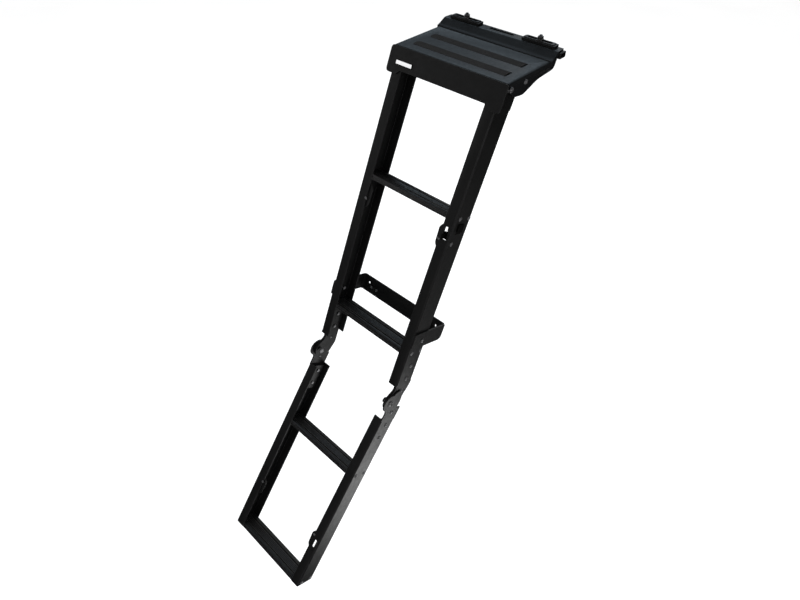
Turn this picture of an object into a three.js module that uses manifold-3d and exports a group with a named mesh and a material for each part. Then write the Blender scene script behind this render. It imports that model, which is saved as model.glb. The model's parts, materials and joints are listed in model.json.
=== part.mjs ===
// Folding tailgate step: a rail clamped on the tailgate carries a deck, and a two-part ladder
// hangs from the deck. The lower half folds up against the front of the upper half.
// Millimetres, +Z up, -Y towards the person climbing, origin at the middle of the mounting face
// under the rail.
import * as THREE from "three";
import { mergeVertices } from "three/addons/utils/BufferGeometryUtils.js";
import Module from "manifold-3d";

const wasm = await Module();
wasm.setup();

// ---- driving dimensions ----
const GAP = 0.35;                 // clearance between pieces that touch
const LADDER_HALF_WIDTH = 115;    // outer faces of the ladder rails
const FLANGE = 22;                // flange width of a ladder rail
const DEPTH = 50;                 // front to rear of a ladder rail
const WALL = 3;                   // wall of a ladder rail
const UPPER_LEAN = 24.28;         // degrees from vertical
const LOWER_LEAN = 38.94;

const DECK_HALF_WIDTH = 126.3;
const DECK_TOP = 1;               // deck surface over the mounting face
const DECK_SHEET = 3;
const DECK_FRONT = -152.4;
const DECK_REAR = -30;            // where the sheet turns up to the rail
const EDGE_RADIUS = 7;            // bend along the two sides of the deck

const RAIL_HALF_LENGTH = 129;     // mounting rail
const RAIL_DEPTH = 18;
const RAIL_HEIGHT = 10;
const RAIL_WALL = 2;
const LIP_SHEET = 2.6;            // deck sheet where it lies on the mounting rail
const LIP_TOP = RAIL_HEIGHT + GAP + LIP_SHEET;

const LADDER_TOP = new THREE.Vector3(0, -153.2, DECK_TOP);
const KNEE_REACH = 656.6;         // along the upper rails from LADDER_TOP to the knee
const PIVOT_FORWARD = 1;          // the fold axis lies this far in front of both front faces
const LOWER_LENGTH = 503;         // knee to the foot of the lower rails
const RUNG_THICKNESS = 12;
const RUNG_STATIONS = [231, 527];          // tops of rungs 1 and 2 below LADDER_TOP
const LOWER_RUNG_STATIONS = [185, 490.5];  // tops of rungs 3 and 4 below the knee
const FLANGE_CUT = 42;            // flanges stop this far from the knee

const LATCH_STATION = 385.3;      // latch centre, measured from the knee on both halves
const LATCH_X = 104;
const STANDOFF_TOP = 481;         // standoff arms along the upper rails
const STANDOFF_HEIGHT = 38;
const STANDOFF_REACH = 103;       // front face of the rails to the rear of the strap
const STANDOFF_PIVOT = { s: 503, q: -30 };
const CLAMP_X = 80.5;
const CLAMP_TRAVEL = 12;

// ---- materials ----
const coat = (color, roughness, metalness) => new THREE.MeshStandardMaterial({ color, roughness, metalness });
const blackCoat = coat(0x18191b, 0.5, 0.3);
const deckCoat = coat(0x22262c, 0.42, 0.35);
const steel = coat(0x3a3b3d, 0.4, 0.8);
const rubber = coat(0x111112, 0.9, 0);
const plastic = coat(0x0c0c0d, 0.6, 0);
const silver = coat(0xd8d9db, 0.35, 0.6);
const aluminium = coat(0x232427, 0.45, 0.6);

// ---- solids ----
function toSolid(geometry) {
  const bare = geometry.clone();
  bare.deleteAttribute("normal");
  bare.deleteAttribute("uv");
  const merged = mergeVertices(bare, 1e-4);
  const solid = new wasm.Manifold(new wasm.Mesh({
    numProp: 3,
    vertProperties: new Float32Array(merged.attributes.position.array),
    triVerts: new Uint32Array(merged.index.array),
  }));
  return solid;
}

function toGeometry(solid) {
  const mesh = solid.getMesh();
  const geometry = new THREE.BufferGeometry();
  geometry.setAttribute("position", new THREE.BufferAttribute(new Float32Array(mesh.vertProperties), 3));
  geometry.setIndex(new THREE.BufferAttribute(new Uint32Array(mesh.triVerts), 1));
  geometry.computeVertexNormals();
  return geometry;
}

function box(x0, x1, y0, y1, z0, z1) {
  const geometry = new THREE.BoxGeometry(x1 - x0, y1 - y0, z1 - z0);
  geometry.translate((x0 + x1) / 2, (y0 + y1) / 2, (z0 + z1) / 2);
  return toSolid(geometry);
}

// A cylinder along X from x0 to x1, centred on (y, z).
function rod(x0, x1, radius, y, z, sides = 20) {
  const geometry = new THREE.CylinderGeometry(radius, radius, Math.abs(x1 - x0), sides);
  geometry.rotateZ(Math.PI / 2);
  geometry.translate((x0 + x1) / 2, y, z);
  return toSolid(geometry);
}

// A cylinder along Y or Z.
function rodY(y0, y1, radius, x, z, sides = 20) {
  const geometry = new THREE.CylinderGeometry(radius, radius, y1 - y0, sides);
  geometry.translate(x, (y0 + y1) / 2, z);
  return toSolid(geometry);
}

function rodZ(z0, z1, radius, x, y, sides = 20) {
  const geometry = new THREE.CylinderGeometry(radius, radius, z1 - z0, sides);
  geometry.rotateX(Math.PI / 2);
  geometry.translate(x, y, (z0 + z1) / 2);
  return toSolid(geometry);
}

// An outline in (y, z) made into a plate from x0 to x1.
function plateYZ(shape, x0, x1, curveSegments = 6) {
  const options = { depth: x1 - x0, bevelEnabled: false, curveSegments };
  const geometry = new THREE.ExtrudeGeometry(shape, options);
  const turn = new THREE.Matrix4().makeBasis(
    new THREE.Vector3(0, 1, 0), new THREE.Vector3(0, 0, 1), new THREE.Vector3(1, 0, 0));
  geometry.applyMatrix4(turn);
  geometry.translate(x0, 0, 0);
  return toSolid(geometry);
}

// An outline in (x, z) made into a plate from y0 to y1.
function plateXZ(shape, y0, y1, curveSegments = 6) {
  const options = { depth: y1 - y0, bevelEnabled: false, curveSegments };
  const geometry = new THREE.ExtrudeGeometry(shape, options);
  geometry.rotateX(Math.PI / 2);
  geometry.translate(0, y1, 0);
  return toSolid(geometry);
}

// An outline in (x, y) made into a plate from z0 to z1.
function plateXY(shape, z0, z1, curveSegments = 6) {
  const options = { depth: z1 - z0, bevelEnabled: false, curveSegments };
  const geometry = new THREE.ExtrudeGeometry(shape, options);
  geometry.translate(0, 0, z0);
  return toSolid(geometry);
}

// A closed outline through the points; a third value rounds that corner by up to that much.
function outline(points) {
  const shape = new THREE.Shape();
  const count = points.length;
  points.forEach(([x, y, radius = 0], index) => {
    const before = points[(index + count - 1) % count];
    const after = points[(index + 1) % count];
    const toBefore = new THREE.Vector2(before[0] - x, before[1] - y);
    const toAfter = new THREE.Vector2(after[0] - x, after[1] - y);
    const reach = Math.min(radius, 0.45 * toBefore.length(), 0.45 * toAfter.length());
    toBefore.setLength(reach);
    toAfter.setLength(reach);
    const start = [x + toBefore.x, y + toBefore.y];
    const end = [x + toAfter.x, y + toAfter.y];
    if (index === 0) shape.moveTo(...start);
    else shape.lineTo(...start);
    if (reach > 0) shape.quadraticCurveTo(x, y, ...end);
  });
  shape.closePath();
  return shape;
}

const roundedRect = (x0, x1, y0, y1, radius) =>
  outline([[x0, y0, radius], [x1, y0, radius], [x1, y1, radius], [x0, y1, radius]]);

const subtractAll = (solid, cuts) => cuts.reduce((rest, cut) => rest.subtract(cut), solid);
const addAll = (solids) => solids.reduce((sum, solid) => sum.add(solid));

function named(name, solid, material) {
  const mesh = new THREE.Mesh(toGeometry(solid), material);
  mesh.name = name;
  return mesh;
}

const sides = [{ name: "left", sign: -1 }, { name: "right", sign: 1 }];

// A span in x that is mirrored to the side it belongs to.
function spanX(sign, inner, outer) {
  return sign > 0 ? [inner, outer] : [-outer, -inner];
}

const sidePlate = (shape, sign, inner, outer, segments) => plateYZ(shape, ...spanX(sign, inner, outer), segments);
const sideRod = (sign, inner, outer, radius, y, z, count) => rod(...spanX(sign, inner, outer), radius, y, z, count);

// ---- places on the ladder ----
// In each half's own frame, y runs from the front face (0) to the rear, and z is minus the
// distance along the rails: from LADDER_TOP on the upper half, from the knee on the lower half.
const upperFrame = new THREE.Group();
upperFrame.position.copy(LADDER_TOP);
upperFrame.rotation.x = -THREE.MathUtils.degToRad(UPPER_LEAN);
upperFrame.updateMatrixWorld();

const lowerFrame = new THREE.Group();
lowerFrame.position.copy(new THREE.Vector3(0, 0, -KNEE_REACH).applyMatrix4(upperFrame.matrixWorld));
lowerFrame.rotation.x = -THREE.MathUtils.degToRad(LOWER_LEAN);

const halfKink = THREE.MathUtils.degToRad((LOWER_LEAN - UPPER_LEAN) / 2);
const pivotAlong = PIVOT_FORWARD * Math.tan(halfKink);
const upperPivot = { y: -PIVOT_FORWARD, z: -KNEE_REACH + pivotAlong };
const lowerPivot = { y: -PIVOT_FORWARD, z: -pivotAlong };

// ---- mounting rail, deck and clamps ----
function mountRail() {
  const half = RAIL_DEPTH / 2;
  const outer = outline([[-half, 0, 1.5], [half, 0, 1.5], [half, RAIL_HEIGHT, 1.5], [-half, RAIL_HEIGHT, 1.5]]);
  const hollow = box(-RAIL_HALF_LENGTH - 1, RAIL_HALF_LENGTH + 1,
    -half + RAIL_WALL, half - RAIL_WALL, RAIL_WALL, RAIL_HEIGHT - RAIL_WALL);
  const tube = plateYZ(outer, -RAIL_HALF_LENGTH, RAIL_HALF_LENGTH, 3);
  return subtractAll(tube, [hollow, ...railSlots(RAIL_HEIGHT - 4, RAIL_HEIGHT + 1)]);
}

// Slots through the top of the rail and the lip over it: one in the middle, one under each clamp.
function railSlots(z0, z1) {
  const slot = (x, halfLength) => plateXY(roundedRect(x - halfLength, x + halfLength, -3.4, 3.4, 3.3), z0, z1, 4);
  return [slot(0, 26.5), slot(-CLAMP_X, 5 + CLAMP_TRAVEL), slot(CLAMP_X, 5 + CLAMP_TRAVEL)];
}

const DECK_SLOTS = [{ name: "rear", y: -74.5 }, { name: "front", y: -122 }];
const STRIP_HALF_LENGTH = 102;
const STRIP_END_GAP = 3.2;         // open slot past the square end of a strip
const STRIP_HALF_WIDTH = 10;

// Bolts through the deck's side flanges into the ladder rails, in the part's frame.
const SIDE_BOLTS = [{ name: "front", y: -149.1, z: -8.6 }, { name: "rear", y: -108.6, z: -7.6 }];

function deck() {
  const half = DECK_HALF_WIDTH;
  const underside = DECK_TOP - DECK_SHEET;
  const railFront = -RAIL_DEPTH / 2;
  const railTop = RAIL_HEIGHT + GAP;
  const sheet = outline([
    [DECK_FRONT, underside], [DECK_REAR + 1, underside, 9], [railFront - 1, railTop, 2],
    [RAIL_DEPTH / 2 - 1, railTop], [RAIL_DEPTH / 2 - 1, LIP_TOP],
    [railFront - 1.6, LIP_TOP, 2], [DECK_REAR - 1, DECK_TOP, 9], [DECK_FRONT, DECK_TOP, 1.2],
  ]);
  const flange = outline([
    [DECK_FRONT + 0.6, DECK_TOP - 1], [DECK_FRONT + 0.6, -8, 3], [DECK_FRONT + 5, -16, 5], [-134.5, -25.5, 4],
    [-110.5, -29.2, 5], [-89.5, -22.8, 12], [-69.5, -16, 14], [-17.5, -13.3, 7], [-10.4, 3, 3], [-11, 12.6],
    [DECK_REAR + 1, DECK_TOP - 1],
  ]);
  const body = addAll([
    plateYZ(sheet, -half, half, 4),
    ...sides.map(({ sign }) => sidePlate(flange, sign, half - DECK_SHEET, half, 5)),
  ]);
  const bent = plateXZ(roundedRect(-half, half, -60, DECK_TOP, EDGE_RADIUS), DECK_FRONT - 5, DECK_REAR, 6);
  const level = body.intersect(bent);
  const raised = body.intersect(plateXY(lipOutline(half), -60, 60));
  const cuts = DECK_SLOTS.map(({ y }) => plateXY(
    stripOutline(y, STRIP_HALF_LENGTH, STRIP_HALF_LENGTH, STRIP_HALF_WIDTH), DECK_TOP - 1.6, DECK_TOP + 1, 8));
  SIDE_BOLTS.forEach(({ y, z }) => cuts.push(rod(-half - 5, half + 5, 2.9, y, z)));
  return subtractAll(level.add(raised), [...cuts, ...railSlots(RAIL_HEIGHT, LIP_TOP + 1)]);
}

// The raised rear of the deck narrows a little towards the rail.
function lipOutline(half) {
  const rear = RAIL_DEPTH / 2 + 2;
  return outline([[-half, DECK_REAR - 0.5], [half, DECK_REAR - 0.5], [half - 2.5, rear], [-half + 2.5, rear]]);
}

// Outline of a grip strip or its slot: round at the left end, square at the right end.
function stripOutline(y, left, right, halfWidth) {
  return outline([
    [-left, y - halfWidth, 9], [right, y - halfWidth, 1], [right, y + halfWidth, 1], [-left, y + halfWidth, 9],
  ]);
}

function gripStrip(y) {
  const base = stripOutline(y, STRIP_HALF_LENGTH - GAP, STRIP_HALF_LENGTH - STRIP_END_GAP, STRIP_HALF_WIDTH - GAP);
  return plateXY(base, DECK_TOP - 1.6 + GAP, DECK_TOP + 0.3, 8);
}

// A hexagon-headed bolt or a plain fastener along X: head outside, shank, nut inside.
function sideFastener(sign, { headOuter, headInner, headRadius, shankInner, shankRadius, nutOuter, nutRadius, y, z }) {
  const parts = [
    sideRod(sign, headInner, headOuter, headRadius, y, z, 16),
    sideRod(sign, shankInner, headInner + 0.5, shankRadius, y, z, 16),
  ];
  if (nutRadius) parts.push(sideRod(sign, shankInner, nutOuter, nutRadius, y, z, 6));
  return addAll(parts);
}

function deckBolt(sign, { y, z }) {
  return sideFastener(sign, {
    headInner: DECK_HALF_WIDTH + GAP, headOuter: DECK_HALF_WIDTH + 3.4, headRadius: 5.6,
    shankInner: LADDER_HALF_WIDTH - WALL - 1.5, shankRadius: 2.5, y, z,
  });
}

function spacer(sign, { y, z }) {
  const inner = LADDER_HALF_WIDTH + GAP;
  const outer = DECK_HALF_WIDTH - DECK_SHEET - GAP;
  return sideRod(sign, inner, outer, 5.2, y, z).subtract(sideRod(sign, inner - 1, outer + 1, 2.9, y, z, 16));
}

function clampPlate(x) {
  const bottom = LIP_TOP + GAP;
  const body = plateXY(roundedRect(x - 33.5, x + 33.5, -8, 8, 2), bottom, bottom + 4, 3);
  const raised = plateXY(roundedRect(x - 30, x + 30, -6, 6, 2), bottom + 3.5, bottom + 5.5, 3);
  const slot = plateXY(roundedRect(x - 25, x + 25, -3.4, 3.4, 3.3), bottom - 1, bottom + 7, 4);
  return body.add(raised).subtract(slot);
}

// T-bolt: head inside the rail, nut on the clamp plate.
function clampBolt(x) {
  const seat = LIP_TOP + GAP + 5.5 + GAP;
  const head = box(x - 7, x + 7, -5.5, 5.5, RAIL_WALL + GAP, RAIL_HEIGHT - RAIL_WALL - GAP);
  const washer = rodZ(seat, seat + 1.2, 6.2, x, 0);
  const nut = rodZ(seat + 1, seat + 6, 4.8, x, 0, 6);
  return addAll([head, rodZ(RAIL_WALL + 2, seat + 8, 3, x, 0, 16), washer, nut]);
}

// ---- ladder rails ----
function channelOutline(sign) {
  const outer = LADDER_HALF_WIDTH * sign;
  const inner = (LADDER_HALF_WIDTH - FLANGE) * sign;
  const web = (LADDER_HALF_WIDTH - WALL) * sign;
  return outline([
    [inner, 0, 0.8], [outer, 0, 3], [outer, DEPTH, 3], [inner, DEPTH, 0.8],
    [inner, DEPTH - WALL, 0.8], [web, DEPTH - WALL, 1.2], [web, WALL, 1.2], [inner, WALL, 0.8],
  ]);
}

const channel = (sign, z0, z1) => plateXY(channelOutline(sign), z0, z1, 3);

// Holes for the fasteners at the given places, right through one web.
function webHoles(sign, places, radius) {
  return places.map(({ y, z }) => sideRod(sign, LADDER_HALF_WIDTH - FLANGE, LADDER_HALF_WIDTH + 9, radius, y, z, 16));
}

const place = (s, q) => ({ y: -q, z: -s });
const UPPER_RIVETS = [{ name: "a", ...place(567, -28) }, { name: "b", ...place(600, -27) }];
const LOWER_RIVETS = [{ name: "a", ...place(59, -28) }, { name: "b", ...place(92, -27) }];
const UPPER_STOP = place(KNEE_REACH - 25.5, -26);
const LOWER_STOP = place(25, -23);
const STANDOFF_HOLE = place(STANDOFF_PIVOT.s, STANDOFF_PIVOT.q);
const HINGE_PLATE = { inner: 104.6, outer: 111.6 };
const LOBE_RADIUS = 20;
const HINGE_SWEEP = 38;           // the upper webs end on this radius about the fold axis

// Bolt places of the deck in the upper half's own frame.
function deckBoltPlace({ y, z }) {
  const point = new THREE.Vector3(0, y, z).applyMatrix4(upperFrame.matrixWorld.clone().invert());
  return { y: point.y, z: point.z };
}

function deckClearance() {
  const cutter = box(-200, 200, -260, 60, -4.4, 120);
  return cutter.transform(upperFrame.matrixWorld.clone().invert().elements);
}

// The opening in the front flange for the latch nose, and the thumb opening in the web.
const LATCH_TRAVEL = 4;
const latchS = KNEE_REACH - LATCH_STATION;
const THUMB = { s: latchS - 16, q: -23.5, halfHeight: 8, halfWidth: 8.5 };

function latchOpenings() {
  const nose = box(LATCH_X - 5.5, LATCH_X + 5, -1, WALL + 1, -latchS - 9.8, -latchS + 15);
  const thumb = box(LADDER_HALF_WIDTH - WALL - 1, LADDER_HALF_WIDTH + 1,
    -THUMB.q - THUMB.halfWidth - 0.6, -THUMB.q + THUMB.halfWidth + 0.6,
    -THUMB.s - THUMB.halfHeight - LATCH_TRAVEL - 0.6, -THUMB.s + THUMB.halfHeight + 0.6);
  return [nose, thumb];
}

function upperRail(sign) {
  const bottom = -KNEE_REACH + FLANGE_CUT;
  const web = sidePlate(outline([
    [0.2, bottom + 4], [0.2, bottom], [10, bottom - 6, 4], [24, -KNEE_REACH + 14, 4], [41, -KNEE_REACH + 17, 4],
    [DEPTH - 0.2, bottom - 2, 8], [DEPTH - 0.2, bottom + 4],
  ]), sign, LADDER_HALF_WIDTH - WALL, LADDER_HALF_WIDTH);
  const sweep = sideRod(sign, LADDER_HALF_WIDTH - WALL - 1, LADDER_HALF_WIDTH + 1, HINGE_SWEEP, upperPivot.y, upperPivot.z, 40);
  const bolts = SIDE_BOLTS.map(deckBoltPlace);
  const cuts = [
    sweep, deckClearance(), ...webHoles(sign, bolts, 2.9),
    ...webHoles(sign, [...UPPER_RIVETS, UPPER_STOP, STANDOFF_HOLE], 2.9),
  ];
  cuts.push(bufferNotch(sign, UPPER_TAB));
  if (sign > 0) cuts.push(...latchOpenings());
  return subtractAll(channel(sign, bottom, 20).add(web), cuts);
}

// The foot of a lower rail is cut square; its web runs up past the flanges to the fold lobe.
function lowerRail(sign) {
  const flangeTop = -FLANGE_CUT;
  const lobe = sideRod(sign, LADDER_HALF_WIDTH - WALL, LADDER_HALF_WIDTH, LOBE_RADIUS, lowerPivot.y, lowerPivot.z, 36);
  const web = sidePlate(outline([
    [0.2, flangeTop - 4], [0.2, -26, 3], [-12, -6], [-PIVOT_FORWARD, LOBE_RADIUS - 3], [8, 30, 6], [30, 24, 8], [46, 6, 8],
    [DEPTH - 0.2, -12, 6], [DEPTH - 0.2, flangeTop - 4],
  ]), sign, LADDER_HALF_WIDTH - WALL, LADDER_HALF_WIDTH);
  const reach = sideRod(sign, LADDER_HALF_WIDTH - WALL - 1, LADDER_HALF_WIDTH + 1, HINGE_SWEEP - 0.8,
    lowerPivot.y, lowerPivot.z, 40);
  const above = box(-200, 200, -60, 100, -14, 60).subtract(reach);
  const shell = subtractAll(channel(sign, -LOWER_LENGTH, flangeTop).add(web), [above]).add(lobe);
  const cuts = [
    ...webHoles(sign, [...LOWER_RIVETS, LOWER_STOP], 2.9), ...webHoles(sign, [lowerPivot], 4.4),
  ];
  cuts.push(bufferNotch(sign, LOWER_TAB));
  if (sign > 0) cuts.push(latchSlot());
  return subtractAll(shell, cuts);
}

function latchSlot() {
  const s = LATCH_STATION;
  return plateXZ(roundedRect(LATCH_X - 2.8, LATCH_X + 2.8, -s - 10.5, -s + 10.5, 2.7), -1, WALL + 1, 4);
}

// ---- rungs ----
// Section of a tread in (y, z), with its top at z = 0: ribbed top, grooved front edge.
function treadOutline(front) {
  const rear = DEPTH - WALL - GAP;
  const ribs = 7;
  const first = WALL + GAP + 8;
  const pitch = (rear - 2 - first) / ribs;
  const points = [[front, -RUNG_THICKNESS, 1], [front, -7.6], [front + 1, -7], [front + 1, -5.4], [front, -4.8], [front, 0, 1.5]];
  points.push([first - 3, 0, 0.5], [first - 2.2, -1.4], [first - 0.8, -1.4]);
  for (let rib = 0; rib < ribs; rib += 1) {
    const y = first + rib * pitch;
    points.push([y, -0.2], [y + pitch * 0.45, -0.2], [y + pitch * 0.6, -1.2], [y + pitch * 0.85, -1.2]);
  }
  points.push([rear - 2, 0], [rear, 0, 0.6], [rear, -RUNG_THICKNESS, 1]);
  return outline(points.reverse());
}

// A tread runs from web to web; between the flanges its nose comes flush with their front faces.
function rung(s) {
  const half = LADDER_HALF_WIDTH - WALL - GAP;
  const clearHalf = LADDER_HALF_WIDTH - FLANGE - GAP;
  const tread = plateYZ(treadOutline(WALL + GAP), -half, half, 3);
  const nose = plateYZ(treadOutline(GAP), -clearHalf, clearHalf, 3);
  const geometry = toGeometry(tread.add(nose));
  geometry.translate(0, 0, -s);
  return toSolid(geometry);
}

// ---- top crossmembers ----
function frontPlate() {
  const half = DECK_HALF_WIDTH;
  const edge = outline([
    [-half, -0.4, 7], [half, -0.4, 7], [half, -47, 7], [101, -47, 4], [96, -39.4, 3],
    [-96, -39.4, 3], [-101, -47, 4], [-half, -47, 7],
  ].reverse());
  return plateXZ(edge, -3.4, -GAP, 4);
}

function rearBrace() {
  const half = LADDER_HALF_WIDTH - 1;
  const edge = outline([
    [-half, -6, 3], [half, -6, 3], [half, -42, 3], [92, -42, 2], [83, -33, 2], [-83, -33, 2], [-92, -42, 2], [-half, -42, 3],
  ].reverse());
  return plateXZ(edge, DEPTH + GAP, DEPTH + 3.2, 3);
}

function badge() {
  return plateXZ(roundedRect(-107, -68.5, -30.6, -22.2, 0.8), -4.8, -3.4 - GAP, 3);
}

// ---- fold hinge ----
function upperHingePlate(sign) {
  const top = -KNEE_REACH + 108;
  const edge = outline([
    [8, top, 3], [DEPTH - WALL - GAP - 1, top, 3], [DEPTH - WALL - GAP - 1, -KNEE_REACH + 9, 5], [32, -KNEE_REACH - 16, 4],
    [18, -KNEE_REACH - 20, 8], [-6, -KNEE_REACH - 17, 10], [-15, -KNEE_REACH - 3, 9], [-9, -KNEE_REACH + 14, 8],
    [8, -KNEE_REACH + 28, 8],
  ].reverse());
  const holes = [
    ...webHoles(sign, UPPER_RIVETS, 2.9), ...webHoles(sign, [UPPER_STOP], 2.9), ...webHoles(sign, [upperPivot], 4.4),
  ];
  return subtractAll(sidePlate(edge, sign, HINGE_PLATE.inner, HINGE_PLATE.outer), holes);
}

// Backing plate of the lower half, below the sweep of the upper hinge plate.
function lowerHingePlate(sign) {
  const edge = outline([
    [8, -46, 3], [42, -46, 3], [42, -108, 4], [8, -108, 4],
  ].reverse());
  return subtractAll(sidePlate(edge, sign, HINGE_PLATE.inner, HINGE_PLATE.outer), webHoles(sign, LOWER_RIVETS, 2.9));
}

function hingeRivet(sign, { y, z }) {
  return sideFastener(sign, {
    headInner: LADDER_HALF_WIDTH + GAP, headOuter: LADDER_HALF_WIDTH + 2.2, headRadius: 4.6,
    shankInner: HINGE_PLATE.inner - 2.6, shankRadius: 2.6, nutOuter: HINGE_PLATE.inner - GAP, nutRadius: 4.4, y, z,
  });
}

function stopPin(sign, { y, z }, inner) {
  return sideFastener(sign, {
    headInner: LADDER_HALF_WIDTH + GAP, headOuter: LADDER_HALF_WIDTH + 2, headRadius: 4,
    shankInner: inner, shankRadius: 2.6, y, z,
  });
}

function hingePivot(sign) {
  return sideFastener(sign, {
    headInner: LADDER_HALF_WIDTH + GAP, headOuter: LADDER_HALF_WIDTH + 2.6, headRadius: 7,
    shankInner: HINGE_PLATE.inner - 8, shankRadius: 4, nutOuter: HINGE_PLATE.inner - GAP, nutRadius: 6.5,
    ...upperPivot,
  });
}

// ---- stowage latch ----
const BUFFER_X = 93.5;
const UPPER_TAB = { from: 251, to: 304, buffer: 283 };
const LOWER_TAB = { from: 356, to: 406, buffer: 367.5 };

// A flat tab behind the front flange, standing out past the flange towards the middle of the
// ladder, with a round buffer that passes through a notch in the flange.
function stowTab(sign, { from, to, buffer }) {
  const back = WALL + GAP;
  const edge = outline([
    [98 * sign, -from], [91 * sign, -from - 4, 3], [85.2 * sign, -from - 12, 3],
    [86.6 * sign, -to + 10, 3], [92 * sign, -to + 2, 3], [98 * sign, -to],
  ]);
  return plateXZ(edge, back, back + 2.4, 3).add(rodY(-0.5, back + 1, 3, BUFFER_X * sign, -buffer, 14));
}

const bufferNotch = (sign, { buffer }) => rodY(-1, WALL + 1, 3.5, BUFFER_X * sign, -buffer, 14);

// One piece: thumb pad outside the web, body inside the channel, a block that backs the opening in
// the flange, and a hooked nose through that opening.
function latchSlide() {
  const webInner = LADDER_HALF_WIDTH - WALL - GAP;
  const [top, foot] = [-THUMB.s + THUMB.halfHeight, -THUMB.s - THUMB.halfHeight];
  const pad = box(LADDER_HALF_WIDTH - WALL - 2, LADDER_HALF_WIDTH + 3,
    -THUMB.q - THUMB.halfWidth, -THUMB.q + THUMB.halfWidth, foot, top);
  const body = box(LATCH_X - 3, webInner, 8, 34, foot - 2, top);
  const backing = box(LATCH_X - 5.2, LATCH_X + 5.2, WALL + GAP, 8.5, -latchS - 9.2, -latchS + 4.3);
  const nose = plateYZ(outline([
    [16, top - 6], [8, top - 6, 1], [8, -latchS + 2], [-9, -latchS + 2, 1.5], [-9, -latchS - 9.2, 1.5], [-5.5, -latchS - 9.2],
    [-5.5, -latchS - 5.2], [16, -latchS - 5.2, 2],
  ].reverse()), LATCH_X - 2, LATCH_X + 2, 3);
  return addAll([pad, body, backing, nose]);
}

// ---- standoff ----
function standoffBracket() {
  const inner = LADDER_HALF_WIDTH + GAP;
  const outer = inner + 3;
  const z0 = -STANDOFF_TOP - STANDOFF_HEIGHT;
  const z1 = -STANDOFF_TOP;
  const arm = outline([
    [0.5, z0 + 2, 5], [46, z0, 6], [96, z0, 4], [STANDOFF_REACH, z0 + 4, 4], [STANDOFF_REACH, z1 - 1, 4], [0.5, z1 - 2, 5],
  ]);
  const band = outline([
    [-outer, STANDOFF_REACH, 6], [outer, STANDOFF_REACH, 6], [outer, STANDOFF_REACH - 12], [inner, STANDOFF_REACH - 12],
    [inner, STANDOFF_REACH - 3, 4], [-inner, STANDOFF_REACH - 3, 4], [-inner, STANDOFF_REACH - 12], [-outer, STANDOFF_REACH - 12],
  ].reverse());
  const round = plateXZ(roundedRect(-outer, outer, z0, z1, 4), -5, STANDOFF_REACH + 5, 3);
  const strap = plateXY(band, z0, z1, 4).intersect(round);
  const arms = sides.map(({ sign }) => sidePlate(arm, sign, inner, outer, 4));
  const holes = sides.flatMap(({ sign }) => [
    sideRod(sign, inner - 2, outer + 2, 3.9, STANDOFF_HOLE.y, STANDOFF_HOLE.z, 16),
    rodY(STANDOFF_REACH - 6, STANDOFF_REACH + 4, 3, 98 * sign, z1 - 15, 14),
    rodY(STANDOFF_REACH - 6, STANDOFF_REACH + 4, 2.4, BUMPER_X * sign, z1 - 20, 14),
  ]);
  const sheet = addAll([strap, ...arms]).subtract(box(-outer + 7, outer - 7, -10, STANDOFF_REACH - 3.2, z0 - 5, z1 + 5));
  return subtractAll(sheet, holes);
}

const BUMPER_X = 78;

function standoffBumper(sign) {
  const z = -STANDOFF_TOP - 20;
  const pad = plateXZ(roundedRect(BUMPER_X * sign - 13, BUMPER_X * sign + 13, z - 13, z + 13, 5),
    STANDOFF_REACH + GAP, STANDOFF_REACH + 12, 4);
  const stem = rodY(STANDOFF_REACH - 3 - 3.5, STANDOFF_REACH + 2, 2, BUMPER_X * sign, z, 14);
  const head = rodY(STANDOFF_REACH - 3 - 3.5, STANDOFF_REACH - 3 - GAP, 4.2, BUMPER_X * sign, z, 14);
  return addAll([pad, stem, head]);
}

function standoffPivot(sign) {
  return sideFastener(sign, {
    headInner: LADDER_HALF_WIDTH + 3 + 2 * GAP, headOuter: LADDER_HALF_WIDTH + 6, headRadius: 5,
    shankInner: LADDER_HALF_WIDTH - WALL - 5, shankRadius: 2.6, nutOuter: LADDER_HALF_WIDTH - WALL - GAP,
    nutRadius: 4.6, ...STANDOFF_HOLE,
  });
}

// ---- assembly ----
const group = new THREE.Group();
group.add(named("mount_rail", mountRail(), blackCoat), named("deck", deck(), deckCoat));
DECK_SLOTS.forEach(({ name, y }) => group.add(named(`grip_strip_${name}`, gripStrip(y), rubber)));
sides.forEach(({ name, sign }) => {
  group.add(named(`clamp_plate_${name}`, clampPlate(CLAMP_X * sign), blackCoat));
  group.add(named(`clamp_bolt_${name}`, clampBolt(CLAMP_X * sign), steel));
  SIDE_BOLTS.forEach((bolt) => {
    group.add(named(`deck_bolt_${bolt.name}_${name}`, deckBolt(sign, bolt), steel));
    group.add(named(`deck_spacer_${bolt.name}_${name}`, spacer(sign, bolt), steel));
  });
});

upperFrame.add(named("front_plate", frontPlate(), blackCoat), named("badge", badge(), silver));
upperFrame.add(named("rear_brace", rearBrace(), blackCoat));
RUNG_STATIONS.forEach((s, index) => upperFrame.add(named(`rung_${index + 1}`, rung(s), aluminium)));
sides.forEach(({ name, sign }) => {
  upperFrame.add(named(`upper_rail_${name}`, upperRail(sign), blackCoat));
  upperFrame.add(named(`upper_hinge_plate_${name}`, upperHingePlate(sign), blackCoat));
  upperFrame.add(named(`hinge_pivot_${name}`, hingePivot(sign), steel));
  upperFrame.add(named(`upper_stop_pin_${name}`, stopPin(sign, UPPER_STOP, HINGE_PLATE.inner - 1), steel));
  UPPER_RIVETS.forEach((rivet) =>
    upperFrame.add(named(`upper_hinge_rivet_${rivet.name}_${name}`, hingeRivet(sign, rivet), steel)));
  upperFrame.add(named(`upper_stow_tab_${name}`, stowTab(sign, UPPER_TAB), blackCoat));
  upperFrame.add(named(`standoff_bumper_${name}`, standoffBumper(sign), rubber));
  upperFrame.add(named(`standoff_pivot_${name}`, standoffPivot(sign), steel));
});
upperFrame.add(named("standoff_bracket", standoffBracket(), blackCoat));
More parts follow.
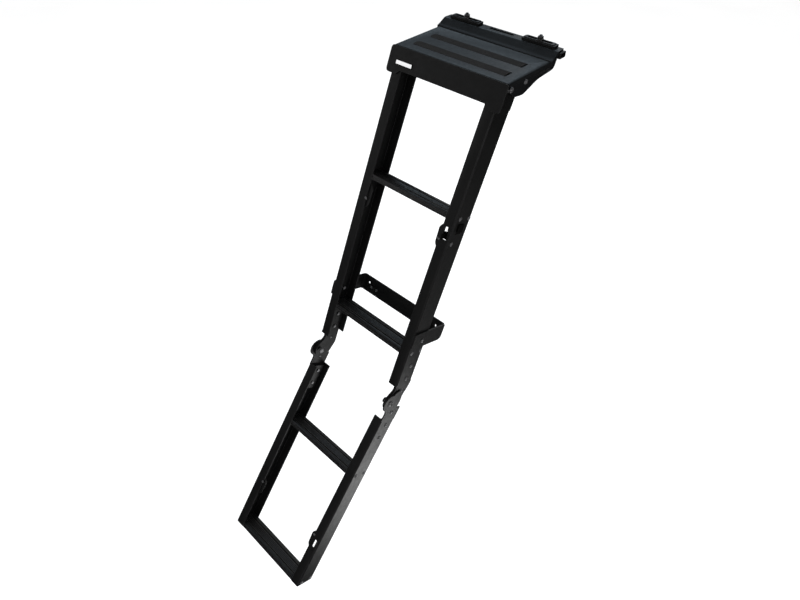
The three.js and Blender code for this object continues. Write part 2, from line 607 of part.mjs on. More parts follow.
upperFrame.add(named("latch_slide", latchSlide(), plastic));

LOWER_RUNG_STATIONS.forEach((s, index) => lowerFrame.add(named(`rung_${index + 3}`, rung(s), aluminium)));
sides.forEach(({ name, sign }) => {
  lowerFrame.add(named(`lower_rail_${name}`, lowerRail(sign), blackCoat));
  lowerFrame.add(named(`lower_hinge_plate_${name}`, lowerHingePlate(sign), blackCoat));
  lowerFrame.add(named(`lower_stow_tab_${name}`, stowTab(sign, LOWER_TAB), blackCoat));
  lowerFrame.add(named(`lower_stop_pin_${name}`, stopPin(sign, LOWER_STOP, LADDER_HALF_WIDTH - WALL - 0.5), steel));
  LOWER_RIVETS.forEach((rivet) =>
    lowerFrame.add(named(`lower_hinge_rivet_${rivet.name}_${name}`, hingeRivet(sign, rivet), steel)));
});
group.add(upperFrame, lowerFrame);

export default group;
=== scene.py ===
"""Looks of the folding tailgate step: fine bevelled metalwork, turned fasteners and materials.

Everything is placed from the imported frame, in metres: +Z up, -Y towards the person climbing.
"""
import json
import math

import bmesh
import bpy
from mathutils import Matrix, Vector


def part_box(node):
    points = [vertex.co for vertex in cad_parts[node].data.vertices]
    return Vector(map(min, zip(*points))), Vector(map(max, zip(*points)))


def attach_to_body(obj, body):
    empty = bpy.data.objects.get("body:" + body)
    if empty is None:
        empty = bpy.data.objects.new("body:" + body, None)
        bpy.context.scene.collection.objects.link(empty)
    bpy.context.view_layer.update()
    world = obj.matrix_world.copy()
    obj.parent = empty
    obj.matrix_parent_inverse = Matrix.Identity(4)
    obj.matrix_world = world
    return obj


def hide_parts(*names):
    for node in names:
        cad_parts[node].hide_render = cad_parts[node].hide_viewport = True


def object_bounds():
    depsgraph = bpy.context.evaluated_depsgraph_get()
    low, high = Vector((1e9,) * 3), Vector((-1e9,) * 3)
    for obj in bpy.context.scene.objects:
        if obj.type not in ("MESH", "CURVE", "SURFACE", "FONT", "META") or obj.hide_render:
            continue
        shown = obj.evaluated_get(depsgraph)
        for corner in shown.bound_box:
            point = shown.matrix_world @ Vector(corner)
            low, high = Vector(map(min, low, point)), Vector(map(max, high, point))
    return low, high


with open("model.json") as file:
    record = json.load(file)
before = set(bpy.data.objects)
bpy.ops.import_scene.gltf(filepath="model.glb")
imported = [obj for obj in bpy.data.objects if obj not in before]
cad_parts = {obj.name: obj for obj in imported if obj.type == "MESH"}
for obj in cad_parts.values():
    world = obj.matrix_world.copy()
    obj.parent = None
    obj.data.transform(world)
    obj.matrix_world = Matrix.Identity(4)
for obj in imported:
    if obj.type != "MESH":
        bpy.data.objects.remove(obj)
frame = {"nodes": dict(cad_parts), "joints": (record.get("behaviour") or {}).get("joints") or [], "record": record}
cad_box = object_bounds()

MM = 0.001
SIDES = {"left": -1, "right": 1}
JOINTS = {joint["name"]: joint for joint in frame["joints"]}

# Leans of the two ladder halves from vertical, worked out from the joints.
LATCH_AXIS = Vector(JOINTS["latch_slide"]["axis"])
UPPER_LEAN = math.atan2(-LATCH_AXIS.y, -LATCH_AXIS.z)
LOWER_LEAN = UPPER_LEAN + math.pi - math.radians(JOINTS["fold"]["range_deg"][1])
RAIL_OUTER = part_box("upper_rail_right")[1].x

SEGMENTS = 36                   # points round a turned piece
SMOOTH_ANGLE = math.radians(35)  # faces that meet at less than this are shaded as one
BEVEL_ANGLE = math.radians(40)  # edges sharper than this are rounded
FLAT_ANGLE = math.radians(0.6)  # neighbouring faces this close are merged into one flat
MERGE_DISTANCE = 0.002 * MM
HEAD_SINK = 0.1 * MM            # how far a loose head's base is let into the face behind it
THREAD_PITCH = 0.8 * MM
RUNG_SCREW_SPREAD = 14.6 * MM   # from the middle of a rung's screw pair to each screw
UPPER_SCREW_SETBACK = 6 * MM    # the pair's middle, behind the middle of the rung
LOWER_SCREW_SETBACK = 2.3 * MM
RAIL_SCREW_RADIUS = 4.3 * MM
RAIL_SCREW_HEIGHT = 2 * MM
LOW_SCREW_HEIGHT = 0.3 * MM     # rung 2's heads, which the standoff's arms swing over
LATCH_SCREW_AHEAD = 9.2 * MM    # in front of the middle of rung 1
LATCH_SCREW_DROP = 50 * MM      # below it, along the rail
STRAP_SCREW_RADIUS = 3.4 * MM
STRAP_SCREW_HEIGHT = 1.8 * MM
STRAP_SCREW_SPREAD = 8 * MM     # to either side of a rubber pad's middle
STRAP_SCREW_AHEAD = 12.4 * MM   # in front of it
BUTTON_RADIUS = 3.0 * MM
BUTTON_HEIGHT = 1.2 * MM
SIDE_NUT_HEIGHT = 2.1 * MM
SIDE_NUT_INSET = 0.5 * MM
STUD_RADIUS = 3 * MM
STUD_PITCH = 1 * MM
WASHER_RADIUS = 6.2 * MM
WASHER_THICKNESS = 1.4 * MM
CLAMP_NUT_RADIUS = 5.2 * MM
CLAMP_NUT_HEIGHT = 4.6 * MM
TREAD_THICKNESS = 12 * MM
TREAD_RIBS = 5
TREAD_PITCH = 4.6 * MM
TREAD_GROOVE = 2.2 * MM
BADGE_RIM = 1 * MM              # width of the dark border at the ends of the label
BADGE_FACE_STEP = 0.45 * MM     # from the backing's middle to the label, and the label's thickness
BADGE_FACE_HALF_HEIGHT = 3.2 * MM
BADGE_FACE_EDGE = 0.25 * MM


# ---- materials ----
def new_material(name, color, roughness, metallic=0.0, specular=0.5):
    """An empty principled material and the nodes that every finish here builds on."""
    material = bpy.data.materials.new(name)
    material.use_nodes = True
    shader = material.node_tree.nodes["Principled BSDF"]
    shader.inputs["Base Color"].default_value = (*color, 1)
    shader.inputs["Roughness"].default_value = roughness
    shader.inputs["Metallic"].default_value = metallic
    shader.inputs["Specular IOR Level"].default_value = specular
    return material, material.node_tree, shader


def add_noise(tree, scale, detail, stretch=(1, 1, 1)):
    """Noise in the object's own space, in repeats per metre."""
    coordinates = tree.nodes.new("ShaderNodeTexCoord")
    mapping = tree.nodes.new("ShaderNodeMapping")
    mapping.inputs["Scale"].default_value = stretch
    noise = tree.nodes.new("ShaderNodeTexNoise")
    noise.inputs["Scale"].default_value = scale
    noise.inputs["Detail"].default_value = detail
    tree.links.new(coordinates.outputs["Object"], mapping.inputs["Vector"])
    tree.links.new(mapping.outputs["Vector"], noise.inputs["Vector"])
    return noise.outputs["Fac"]


def add_ramp(tree, factor, stops):
    """A colour ramp over a factor; each stop is a place and a grey or a colour."""
    ramp = tree.nodes.new("ShaderNodeValToRGB")
    elements = ramp.color_ramp.elements
    while len(elements) < len(stops):
        elements.new(0.5)
    for element, (position, value) in zip(elements, stops):
        element.position = position
        color = (value, value, value) if isinstance(value, (int, float)) else value
        element.color = (*color, 1)
    tree.links.new(factor, ramp.inputs["Fac"])
    return ramp.outputs["Color"]


def add_edge_highlight_mask(tree, radius):
    """Near 1 along convex and concave edges, 0 on open faces; it places painted edge highlights."""
    bevel = tree.nodes.new("ShaderNodeBevel")
    bevel.samples = 4
    bevel.inputs["Radius"].default_value = radius
    geometry = tree.nodes.new("ShaderNodeNewGeometry")
    dot = tree.nodes.new("ShaderNodeVectorMath")
    dot.operation = "DOT_PRODUCT"
    tree.links.new(bevel.outputs["Normal"], dot.inputs[0])
    tree.links.new(geometry.outputs["Normal"], dot.inputs[1])
    return add_ramp(tree, dot.outputs["Value"], [(0.90, 1.0), (0.995, 0.0)])


def mix_colors(tree, factor, first, second):
    """The second colour over the first by a factor; either may be a socket or a colour."""
    mix = tree.nodes.new("ShaderNodeMix")
    mix.data_type = "RGBA"
    tree.links.new(factor, mix.inputs["Factor"])
    for socket, value in ((mix.inputs["A"], first), (mix.inputs["B"], second)):
        if isinstance(value, tuple):
            socket.default_value = (*value, 1)
        else:
            tree.links.new(value, socket)
    return mix.outputs["Result"]


def shade(color, factor):
    """A colour made darker or lighter."""
    return tuple(factor * channel for channel in color)


def add_bump(tree, shader, height, strength, distance):
    """Fine relief on a shader from a height."""
    bump = tree.nodes.new("ShaderNodeBump")
    bump.inputs["Strength"].default_value = strength
    bump.inputs["Distance"].default_value = distance
    tree.links.new(height, bump.inputs["Height"])
    tree.links.new(bump.outputs["Normal"], shader.inputs["Normal"])


def powder_coat(name, color, painted_highlight, roughness, bump):
    """Baked black powder: fine orange peel, soft mottling and lighter edges, a painted highlight."""
    material, tree, shader = new_material(name, color, roughness, specular=0.22)
    cloud = add_noise(tree, 22, 4)
    tone = add_ramp(tree, cloud, [(0.3, shade(color, 0.86)), (0.7, shade(color, 1.16))])
    # Lighter colour along edges: a painted highlight.
    edges = add_edge_highlight_mask(tree, 1.2 * MM)
    tree.links.new(mix_colors(tree, edges, tone, painted_highlight), shader.inputs["Base Color"])
    speck = add_noise(tree, 160, 5)
    tree.links.new(add_ramp(tree, speck, [(0.3, roughness - 0.05), (0.7, roughness + 0.06)]),
                   shader.inputs["Roughness"])
    add_bump(tree, shader, add_noise(tree, 900, 3), bump, 0.12 * MM)
    return material


def extruded_metal():
    """Black coated treads: faint lengthwise die lines, and rib edges lightened as a painted highlight."""
    material, tree, shader = new_material("tread_coat", (0.005, 0.005, 0.005), 0.34, specular=0.3)
    lines = add_noise(tree, 420, 3, (0.02, 1, 1))
    tone = add_ramp(tree, lines, [(0.3, (0.002, 0.002, 0.002)), (0.75, (0.006, 0.006, 0.006))])
    # Lighter colour along rib edges: a painted highlight.
    with_painted_highlight = mix_colors(tree, add_edge_highlight_mask(tree, 0.7 * MM), tone, (0.05, 0.05, 0.052))
    tree.links.new(with_painted_highlight, shader.inputs["Base Color"])
    tree.links.new(add_ramp(tree, lines, [(0.3, 0.28), (0.7, 0.40)]), shader.inputs["Roughness"])
    add_bump(tree, shader, lines, 0.25, 0.08 * MM)
    return material


def grit_strip():
    """Grip strip: coarse grit bonded into dull, slightly brown rubber."""
    material, tree, shader = new_material("grip_grit", (0.012, 0.011, 0.010), 0.85, specular=0.2)
    grit = tree.nodes.new("ShaderNodeTexVoronoi")
    grit.inputs["Scale"].default_value = 1300
    coordinates = tree.nodes.new("ShaderNodeTexCoord")
    tree.links.new(coordinates.outputs["Object"], grit.inputs["Vector"])
    stops = [(0.1, (0.024, 0.021, 0.019)), (0.6, (0.008, 0.007, 0.0065))]
    tree.links.new(add_ramp(tree, grit.outputs["Distance"], stops), shader.inputs["Base Color"])
    add_bump(tree, shader, grit.outputs["Distance"], 0.6, 0.3 * MM)
    return material


def moulded(name, color, roughness):
    """Moulded rubber or plastic: a fine even grain and faint flow marks."""
    material, tree, shader = new_material(name, color, roughness, specular=0.06)
    flow = add_noise(tree, 45, 3)
    tone = add_ramp(tree, flow, [(0.3, shade(color, 0.75)), (0.7, shade(color, 1.4))])
    tree.links.new(tone, shader.inputs["Base Color"])
    gloss = add_ramp(tree, flow, [(0.3, roughness - 0.06), (0.7, roughness + 0.08)])
    tree.links.new(gloss, shader.inputs["Roughness"])
    add_bump(tree, shader, add_noise(tree, 1500, 2), 0.3, 0.1 * MM)
    return material


def plated_steel(name, color, roughness):
    """Plated fasteners: mottled dark metal with a fine grain and bright edges, a painted highlight."""
    material, tree, shader = new_material(name, color, roughness, metallic=0.85, specular=0.25)
    cloud = add_noise(tree, 260, 4)
    tone = add_ramp(tree, cloud, [(0.3, shade(color, 0.7)), (0.7, shade(color, 1.3))])
    # Bright colour along edges: a painted highlight.
    with_painted_highlight = mix_colors(tree, add_edge_highlight_mask(tree, 0.5 * MM), tone, (0.42, 0.42, 0.43))
    tree.links.new(with_painted_highlight, shader.inputs["Base Color"])
    gloss = add_ramp(tree, cloud, [(0.3, roughness - 0.07), (0.7, roughness + 0.1)])
    tree.links.new(gloss, shader.inputs["Roughness"])
    add_bump(tree, shader, add_noise(tree, 1800, 2), 0.2, 0.06 * MM)
    return material


def satin_label():
    """Blank silver label, brushed along its length."""
    material, tree, shader = new_material("satin_label", (0.82, 0.82, 0.83), 0.4, metallic=0.25)
    brush = add_noise(tree, 900, 3, (0.03, 1, 1))
    tree.links.new(add_ramp(tree, brush, [(0.3, (0.74, 0.74, 0.75)), (0.7, (0.92, 0.92, 0.93))]),
                   shader.inputs["Base Color"])
    tree.links.new(add_ramp(tree, brush, [(0.3, 0.33), (0.7, 0.48)]), shader.inputs["Roughness"])
    add_bump(tree, shader, brush, 0.15, 0.05 * MM)
    return material


def pale_floor():
    """Near-white floor, barely mottled."""
    material, tree, shader = new_material("pale_floor", (0.92, 0.92, 0.92), 0.7, specular=0.2)
    cloud = add_noise(tree, 1.5, 2)
    tree.links.new(add_ramp(tree, cloud, [(0.3, 0.91), (0.7, 0.93)]), shader.inputs["Base Color"])
    return material


# The third colour of each coat is its painted edge highlight.
FRAME_COAT = powder_coat("frame_coat", (0.0035, 0.0035, 0.0036), (0.02, 0.02, 0.0205), 0.42, 0.35)
DECK_COAT = powder_coat("deck_coat", (0.0045, 0.005, 0.0055), (0.011, 0.012, 0.013), 0.38, 0.25)
TREAD_COAT = extruded_metal()
GRIP = grit_strip()
BUMPER_RUBBER = moulded("bumper_rubber_grain", (0.005, 0.005, 0.005), 0.72)
LATCH_PLASTIC = moulded("latch_plastic_grain", (0.0015, 0.0015, 0.0015), 0.6)
BOLT_BLACK = plated_steel("black_oxide", (0.035, 0.035, 0.036), 0.42)
FASTENER = plated_steel("fastener_zinc", (0.16, 0.16, 0.165), 0.36)
LABEL = satin_label()
SLOT_MATERIALS = {
    "coated_frame": FRAME_COAT, "coated_deck": DECK_COAT, "tread_metal": TREAD_COAT, "grip_rubber": GRIP,
    "bumper_rubber": BUMPER_RUBBER, "latch_plastic": LATCH_PLASTIC, "fastener_metal": FASTENER,
    "badge_face": LABEL,
}
NODE_SLOTS = {entry["node"]: entry["material_slot"] for entry in frame["record"]["subparts"]}
NODE_BODIES = {node: body for body, nodes in frame["record"]["behaviour"]["bodies"].items() for node in nodes}


# ---- pieces ----
def dress(piece, material):
    """Gives a piece one material."""
    piece.data.materials.clear()
    piece.data.materials.append(material)


def new_object(name, bm, material):
    """A linked object from a bmesh, with outward faces and smooth shading up to sharp edges."""
    bmesh.ops.recalc_face_normals(bm, faces=bm.faces)
    mesh = bpy.data.meshes.new(name)
    bm.to_mesh(mesh)
    bm.free()
    mesh.shade_smooth()
    mesh.set_sharp_from_angle(angle=SMOOTH_ANGLE)
    piece = bpy.data.objects.new(name, mesh)
    bpy.context.scene.collection.objects.link(piece)
    dress(piece, material)
    return piece


def apply_modifiers(piece):
    """Makes a piece's modifiers part of its mesh."""
    depsgraph = bpy.context.evaluated_depsgraph_get()
    mesh = bpy.data.meshes.new_from_object(piece.evaluated_get(depsgraph))
    piece.modifiers.clear()
    piece.data = mesh


def attach(piece, body, slot, *nodes):
    """Rides a piece on a body, in place of any CAD nodes given. The slot is not used."""
    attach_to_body(piece, body)
    if nodes:
        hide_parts(*nodes)


def refine(node, width, segments=2):
    """Stands for a CAD node: the same solid with its flats merged and its edges rounded."""
    bm = bmesh.new()
    bm.from_mesh(frame["nodes"][node].data)
    bmesh.ops.remove_doubles(bm, verts=bm.verts, dist=MERGE_DISTANCE)
    bmesh.ops.dissolve_limit(bm, angle_limit=FLAT_ANGLE, verts=bm.verts, edges=bm.edges)
    slot = NODE_SLOTS[node]
    piece = new_object("fine_" + node, bm, SLOT_MATERIALS[slot])
    bevel = piece.modifiers.new("edges", "BEVEL")
    bevel.width = width
    bevel.segments = segments
    bevel.limit_method = "ANGLE"
    bevel.angle_limit = BEVEL_ANGLE
    bevel.harden_normals = True
    apply_modifiers(piece)
    attach(piece, NODE_BODIES[node], slot, node)
    return piece


def hexagon_reach(angle):
    """How far a hexagon of unit inner radius reaches in a direction."""
    sector = math.radians(60)
    return 1 / math.cos((angle + sector / 2) % sector - sector / 2)


def add_turned(bm, rings, place):
    """Adds a turned solid: each ring is (height, radius, is_hexagon), from one end to the other."""
    loops = []
    for height, radius, is_hexagon in rings:
        loop = []
        for index in range(SEGMENTS):
            angle = 2 * math.pi * index / SEGMENTS
            reach = radius * (hexagon_reach(angle) if is_hexagon else 1)
            point = Vector((reach * math.cos(angle), reach * math.sin(angle), height))
            loop.append(bm.verts.new(place @ point))
        loops.append(loop)
    for lower, upper in zip(loops, loops[1:]):
        for index in range(SEGMENTS):
            following = (index + 1) % SEGMENTS
            bm.faces.new((lower[index], lower[following], upper[following], upper[index]))
    bm.faces.new(loops[0][::-1])
    bm.faces.new(loops[-1])


def aim(position, direction):
    """Places a turned solid's base at a point, with its height along a direction."""
    turn = Vector(direction).to_track_quat("Z", "Y").to_matrix().to_4x4()
    return Matrix.Translation(position) @ turn


def button_head(radius, height):
    """Domed head with a hexagon socket."""
    socket = 0.42 * radius
    depth = 0.55 * height
    dome = [(0, radius), (0.25, 0.985), (0.5, 0.9), (0.78, 0.74), (0.95, 0.55)]
    rings = [(0, radius * 0.985, False), (0.08 * height, radius, False)]
    rings += [(share * height, radius * reach, False) for share, reach in dome[1:]]
    rings += [(height, socket * 1.16, False), (height * 0.99, socket, True), (height - depth, socket, True)]
    return rings


def hexagon_nut(radius, height):
    """Hexagon with chamfered corners."""
    inner = radius * 0.866
    return [(0, inner * 0.98, False), (0.1 * height, inner, True), (0.86 * height, inner, True),
            (height, inner * 0.97, False)]


def thread(radius, start, end, pitch):
    """Crests and roots of a thread, as rings along a shank."""
    rings = []
    turns = int((end - start) / pitch)
    for turn in range(turns):
        base = start + turn * pitch
        rings += [(base, radius * 0.87, False), (base + 0.3 * pitch, radius, False),
                  (base + 0.5 * pitch, radius, False)]
    return rings + [(end, radius * 0.8, False)]


def node_middle(node):
    """The middle of a CAD node's box, and its two corners."""
    low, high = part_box(node)
    return (low + high) / 2, low, high


def side_screw(node, head_radius, head_height, has_nut):
    """Stands for a fastener along X: domed head outside, shank through, nut inside if it has one."""
    middle, low, high = node_middle(node)
    sign = 1 if middle.x > 0 else -1
    outer = high.x if sign > 0 else -low.x
    inner = low.x if sign > 0 else -high.x

    def outward_from(reach):
        return aim(Vector((sign * reach, middle.y, middle.z)), (sign, 0, 0))

    bm = bmesh.new()
    add_turned(bm, button_head(head_radius, head_height), outward_from(outer - head_height))
    shank_radius = 0.5 * head_radius
    shank = [(0, shank_radius * 0.8, False)]
    shank += thread(shank_radius, 0.4 * MM, outer - head_height - inner, THREAD_PITCH)
    add_turned(bm, shank, outward_from(inner))
    if has_nut:
        nut = hexagon_nut(0.92 * head_radius, SIDE_NUT_HEIGHT)
        add_turned(bm, nut, outward_from(inner + SIDE_NUT_INSET))
    slot = NODE_SLOTS[node]
    piece = new_object("turned_" + node, bm, SLOT_MATERIALS[slot])
    attach(piece, NODE_BODIES[node], slot, node)


def clamp_stud(node):
    """Stands for a clamp's T-bolt: the T head, threaded stud, washer and hexagon nut."""
    middle, low, high = node_middle(node)
    plate_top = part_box(node.replace("bolt", "plate"))[1].z
    up = (0, 0, 1)
    base = Vector((middle.x, middle.y, low.z))
    bm = bmesh.new()
    head_radius = (high.y - low.y) / 2 * 0.9
    head = [(0, head_radius * 0.95, True), (0.4 * MM, head_radius, True), (3.0 * MM, head_radius, True)]
    add_turned(bm, head, aim(base, up))
    seat = Vector((middle.x, middle.y, plate_top + 0.15 * MM))
    nut_base = Vector((middle.x, middle.y, seat.z + WASHER_THICKNESS))
    length = high.z - low.z
    stud = [(2.5 * MM, STUD_RADIUS, False)] + thread(STUD_RADIUS, 3 * MM, length, STUD_PITCH)
    add_turned(bm, stud, aim(base, up))
    washer = [
        (0, 6 * MM, False), (0.2 * MM, WASHER_RADIUS, False),
        (1.2 * MM, WASHER_RADIUS, False), (WASHER_THICKNESS, 5.9 * MM, False),
    ]
    add_turned(bm, washer, aim(seat, up))
    add_turned(bm, hexagon_nut(CLAMP_NUT_RADIUS, CLAMP_NUT_HEIGHT), aim(nut_base, up))
    piece = new_object("turned_" + node, bm, BOLT_BLACK)
    attach(piece, NODE_BODIES[node], NODE_SLOTS[node], node)


def ladder_axes(lean):
    """Directions of a ladder half: rearward across its rails, and down along them."""
    return Vector((0, math.cos(lean), -math.sin(lean))), Vector((0, -math.sin(lean), -math.cos(lean)))


def rung_screws(rung, lean, setback, body, head_height=RAIL_SCREW_HEIGHT):
    """Heads of the two screws at each end of a rung, on the outer faces of the rails."""
    middle = node_middle(rung)[0]
    rearward = ladder_axes(lean)[0]
    bm = bmesh.new()
    for sign in SIDES.values():
        for offset in (-RUNG_SCREW_SPREAD, RUNG_SCREW_SPREAD):
            at = middle + rearward * (setback + offset)
            at.x = sign * (RAIL_OUTER - HEAD_SINK)
            add_turned(bm, button_head(RAIL_SCREW_RADIUS, head_height), aim(at, (sign, 0, 0)))
    piece = new_object("screws_" + rung, bm, FASTENER)
    attach(piece, body, "fastener_metal")


def latch_screw():
    """Head of the screw below the latch, on the outer face of the right rail."""
    rearward, downward = ladder_axes(UPPER_LEAN)
    at = node_middle("rung_1")[0] - rearward * LATCH_SCREW_AHEAD + downward * LATCH_SCREW_DROP
    at.x = RAIL_OUTER - HEAD_SINK
    bm = bmesh.new()
    add_turned(bm, button_head(RAIL_SCREW_RADIUS, RAIL_SCREW_HEIGHT), aim(at, (1, 0, 0)))
    piece = new_object("screw_latch", bm, FASTENER)
    attach(piece, "deck_and_upper_ladder", "fastener_metal")


def strap_screws():
    """Screw heads on the front of the standoff strap that hold its rubber pads."""
    rearward = ladder_axes(UPPER_LEAN)[0]
    bm = bmesh.new()
    for side in SIDES:
        middle = node_middle("standoff_bumper_" + side)[0]
        for offset in (-STRAP_SCREW_SPREAD, STRAP_SCREW_SPREAD):
            at = middle + Vector((offset, 0, 0)) - rearward * STRAP_SCREW_AHEAD
            add_turned(bm, button_head(STRAP_SCREW_RADIUS, STRAP_SCREW_HEIGHT), aim(at, -rearward))
    piece = new_object("screws_standoff", bm, FASTENER)
    attach(piece, "standoff", "fastener_metal")


def tread_profile(front, rear, thickness):
    """Section of a tread as (behind, down) points: sloped nose, fine ribs, rear rib, deep grooves."""
    points = [(front, thickness), (front, 8.2 * MM), (front + 1.2 * MM, 7.8 * MM)]
    points += [(front + 1.2 * MM, 5.6 * MM), (front, 5.2 * MM), (front, 2.6 * MM)]
    points += [(front + 3 * MM, 0.3 * MM), (front + 4.4 * MM, 0.1 * MM), (front + 5.2 * MM, 0.3 * MM)]
    groove = front + 5.6 * MM
    points += [(groove, TREAD_GROOVE), (groove + 2.8 * MM, TREAD_GROOVE)]
    first = groove + 2.8 * MM
    for rib in range(TREAD_RIBS):
        start = first + rib * TREAD_PITCH
        points += [(start + 1.5 * MM, 0.3 * MM), (start + 2.6 * MM, 0.2 * MM)]
        points += [(start + 3.0 * MM, 1.5 * MM), (start + TREAD_PITCH, 1.5 * MM)]
    groove = first + TREAD_RIBS * TREAD_PITCH
    points += [(groove, TREAD_GROOVE), (groove + 2.4 * MM, TREAD_GROOVE)]
    points += [(groove + 4.6 * MM, 0.2 * MM), (rear - 1 * MM, 0.1 * MM), (rear, 0.8 * MM), (rear, thickness)]
    return points


def tread(node, lean):
    """Stands for a rung: the ribbed section, its nose flush with the flanges and its ends behind them."""
    rearward, downward = ladder_axes(lean)
    vertices = [vertex.co for vertex in frame["nodes"][node].data.vertices]
    behind = [point.dot(rearward) for point in vertices]
    down = [point.dot(downward) for point in vertices]
    half_length = max(point.x for point in vertices)
    clear_half = max(p.x for p, b in zip(vertices, behind) if b < min(behind) + 1 * MM)
    end_front = min(b for p, b in zip(vertices, behind) if p.x > half_length - 0.1 * MM)
    profile = tread_profile(min(behind), max(behind), TREAD_THICKNESS)
    bm = bmesh.new()
    loops = []
    for x, nearest in ((-half_length, end_front), (-clear_half, end_front), (-clear_half, min(behind)),
                       (clear_half, min(behind)), (clear_half, end_front), (half_length, end_front)):
        loop = []
        for across, depth in profile:
            place = rearward * max(across, nearest) + downward * (min(down) + depth)
            loop.append(bm.verts.new(place + Vector((x, 0, 0))))
        loops.append(loop)
    for lower, upper in zip(loops, loops[1:]):
        for index in range(len(profile)):
            following = (index + 1) % len(profile)
            bm.faces.new((lower[index], lower[following], upper[following], upper[index]))
    bm.faces.new(loops[0][::-1])
    bm.faces.new(loops[-1])
    bmesh.ops.remove_doubles(bm, verts=bm.verts, dist=0.005 * MM)
    piece = new_object("fine_" + node, bm, TREAD_COAT)
    attach(piece, NODE_BODIES[node], NODE_SLOTS[node], node)


def badge():
    """Blank silver label on a slightly larger dark backing, which shows as a border."""
    rim = refine("badge", 0.4 * MM, 3)
    dress(rim, LATCH_PLASTIC)
    low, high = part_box("badge")
    rearward, downward = ladder_axes(UPPER_LEAN)
    middle = (low + high) / 2
    half_length = (high.x - low.x) / 2 - BADGE_RIM
    face_middle = middle - rearward * BADGE_FACE_STEP
    bm = bmesh.new()
    corners = []
    for outward in (0, BADGE_FACE_STEP):
        for side, drop in ((-1, -1), (1, -1), (1, 1), (-1, 1)):
            point = face_middle + Vector((side * half_length, 0, 0))
            point += downward * (drop * BADGE_FACE_HALF_HEIGHT)
            corners.append(bm.verts.new(point - rearward * outward))
    bm.faces.new(corners[:4])
    bm.faces.new(corners[4:])
    for index in range(4):
        following = (index + 1) % 4
        bm.faces.new((corners[index], corners[following], corners[4 + following], corners[4 + index]))
    face = new_object("badge_face", bm, LABEL)
    bevel = face.modifiers.new("edges", "BEVEL")
    bevel.width = BADGE_FACE_EDGE
    bevel.segments = 2
    apply_modifiers(face)
    attach(face, NODE_BODIES["badge"], NODE_SLOTS["badge"])


def tab_buttons(half, lean, body):
    """Domed heads on the round buffers of a ladder half's two stow tabs."""
    rearward = ladder_axes(lean)[0]
    bm = bmesh.new()
    for side in SIDES:
        points = [vertex.co for vertex in frame["nodes"][f"{half}_stow_tab_{side}"].data.vertices]
        front = min(point.dot(rearward) for point in points)
        end_face = [point for point in points if point.dot(rearward) < front + 0.1 * MM]
        centre = sum(end_face, Vector()) / len(end_face)
        base = centre + rearward * HEAD_SINK
        add_turned(bm, button_head(BUTTON_RADIUS, BUTTON_HEIGHT), aim(base, -rearward))
    piece = new_object("buttons_" + half, bm, FASTENER)
    attach(piece, body, "fastener_metal")


# ---- stage, light and camera ----
CAMERA_AZIMUTH = 42.07
CAMERA_ELEVATION = 44.93
CAMERA_ROLL = 0.57
CAMERA_PLACE = (0.5794, -0.9112, 0.3821)
CAMERA_LENS = 25.08
FLOOR_DROP = 0.55               # below the object's lowest point
FLOOR_REACH = 12
FILL_SIZE = (2.4, 2.4)
FILL_POWER = 20
WORLD_STRENGTH = 1.12


def add_floor():
    """A wide floor below the object, kept out of its reflections."""
    low = cad_box[0]
    bm = bmesh.new()
    bmesh.ops.create_grid(bm, x_segments=1, y_segments=1, size=FLOOR_REACH)
    floor = new_object("floor", bm, pale_floor())
    floor.location = (0, 0, low[2] - FLOOR_DROP)
    floor.visible_glossy = False


def add_panel(name, place, target, size, power, color=(1, 1, 1)):
    """A soft rectangular light at a place, facing a target."""
    light = bpy.data.lights.new(name, "AREA")
    light.shape = "RECTANGLE"
    light.size, light.size_y = size
    light.energy = power
    light.color = color
    panel = bpy.data.objects.new(name, light)
    panel.location = place
    panel.rotation_euler = (Vector(target) - Vector(place)).to_track_quat("-Z", "Y").to_euler()
    bpy.context.scene.collection.objects.link(panel)


def add_lights():
    """A cool sky lamp behind, two low lamps on the right, front lamps, fills, and a white world."""
    middle = (0, -0.38, -0.45)
    add_panel("sky", (-1.6, 2.2, 2.4), middle, (2.6, 1.8), 32, (0.72, 0.87, 1.0))
    add_panel("low_right", (0.52, -0.27, -1.42), (0.1, -0.65, -0.85), (0.5, 0.6), 2.6)
    add_panel("low_rear", (1.0, 0.6, -1.45), (0.1, -0.3, -0.4), (1.2, 1.2), 0.9)
    add_panel("front_left", (-2.2, -2.6, 0.6), middle, (1.5, 2.0), 9)
    add_panel("front_right", (2.6, -1.8, 1.2), middle, (1.0, 1.0), 6)
    for name, place in (("rear", (-0.6, 3.3, 0.2)), ("right", (3.3, 0.2, -0.2)),
                        ("left", (-3.3, 0.2, -0.2)), ("front", (0.8, -3.5, -0.3))):
        add_panel(name, place, middle, FILL_SIZE, FILL_POWER)
    world = bpy.data.worlds.new("studio")
    world.use_nodes = True
    background = world.node_tree.nodes["Background"]
    background.inputs["Color"].default_value = (1, 1, 1, 1)
    background.inputs["Strength"].default_value = WORLD_STRENGTH
    bpy.context.scene.world = world
    # Out of reflections, like the floor, so that the black coat stays dark.
    world.cycles_visibility.glossy = False


def add_camera():
    """The main view, from the object's right front and above."""
    lens = bpy.data.cameras.new("camera")
    lens.lens = CAMERA_LENS
    camera = bpy.data.objects.new("camera", lens)
    yaw = Matrix.Rotation(math.radians(CAMERA_AZIMUTH), 4, "Z")
    pitch = Matrix.Rotation(math.radians(90 - CAMERA_ELEVATION), 4, "X")
    roll = Matrix.Rotation(math.radians(CAMERA_ROLL), 4, "Z")
    camera.matrix_world = Matrix.Translation(CAMERA_PLACE) @ yaw @ pitch @ roll
    bpy.context.scene.collection.objects.link(camera)
    bpy.context.scene.camera = camera


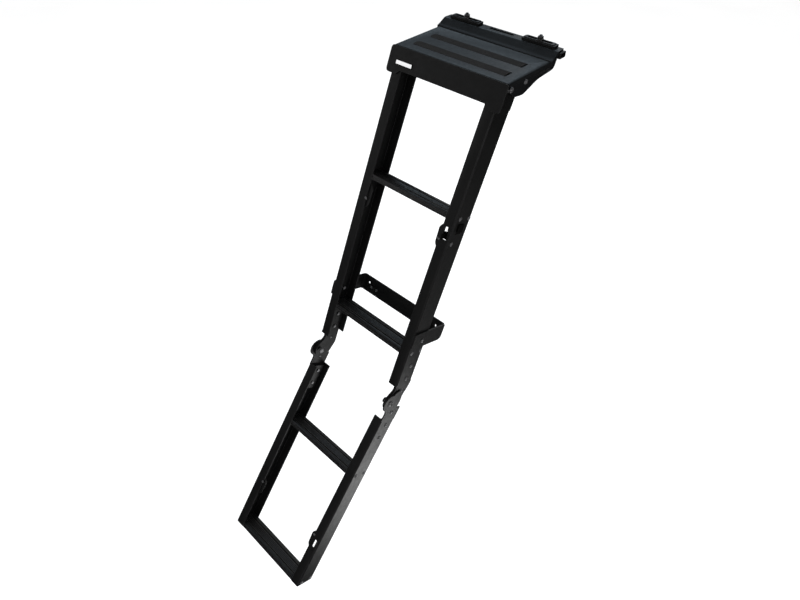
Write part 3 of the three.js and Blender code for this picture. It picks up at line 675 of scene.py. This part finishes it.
# ---- the whole object ----
EDGE_WIDTHS = {
    "mount_rail": 0.4, "deck": 0.7, "front_plate": 0.6, "rear_brace": 0.6, "standoff_bracket": 0.6,
    "grip_strip_rear": 0.3, "grip_strip_front": 0.3, "latch_slide": 0.5,
}
SIDE_EDGE_WIDTHS = {
    "upper_rail": 0.5, "lower_rail": 0.5, "upper_hinge_plate": 0.6, "lower_hinge_plate": 0.6,
    "upper_stow_tab": 0.5, "lower_stow_tab": 0.5, "clamp_plate": 0.5, "standoff_bumper": 1.2,
    "deck_spacer_front": 0.4, "deck_spacer_rear": 0.4,
}
SIDE_FASTENERS = [
    # name, head radius, head height, has a nut inside
    ("deck_bolt_front", 4.8, 3.0, False), ("deck_bolt_rear", 4.2, 3.0, False),
    ("hinge_pivot", 6.9, 2.4, True), ("standoff_pivot", 4.9, 2.6, True),
    ("upper_stop_pin", 4.2, 1.7, False), ("lower_stop_pin", 4.2, 1.7, False),
    ("upper_hinge_rivet_a", 4.5, 1.9, True), ("upper_hinge_rivet_b", 4.5, 1.9, True),
    ("lower_hinge_rivet_a", 4.5, 1.9, True), ("lower_hinge_rivet_b", 4.5, 1.9, True),
]

for node_name, edge in EDGE_WIDTHS.items():
    refine(node_name, edge * MM)
for side_name in SIDES:
    for node_name, edge in SIDE_EDGE_WIDTHS.items():
        refine(f"{node_name}_{side_name}", edge * MM)
    for fastener, head_size, head_depth, nut in SIDE_FASTENERS:
        side_screw(f"{fastener}_{side_name}", head_size * MM, head_depth * MM, nut)
    clamp_stud("clamp_bolt_" + side_name)
badge()
for number in (1, 2, 3, 4):
    tread(f"rung_{number}", UPPER_LEAN if number < 3 else LOWER_LEAN)
rung_screws("rung_1", UPPER_LEAN, UPPER_SCREW_SETBACK, "deck_and_upper_ladder")
# The standoff's arms swing over these, so they are nearly flush.
rung_screws("rung_2", UPPER_LEAN, UPPER_SCREW_SETBACK, "deck_and_upper_ladder", LOW_SCREW_HEIGHT)
rung_screws("rung_3", LOWER_LEAN, LOWER_SCREW_SETBACK, "lower_ladder")
rung_screws("rung_4", LOWER_LEAN, LOWER_SCREW_SETBACK, "lower_ladder")
latch_screw()
strap_screws()
tab_buttons("upper", UPPER_LEAN, "deck_and_upper_ladder")
tab_buttons("lower", LOWER_LEAN, "lower_ladder")

add_floor()
add_lights()
add_camera()
bpy.context.scene.view_settings.view_transform = "Standard"

bpy.context.view_layer.update()
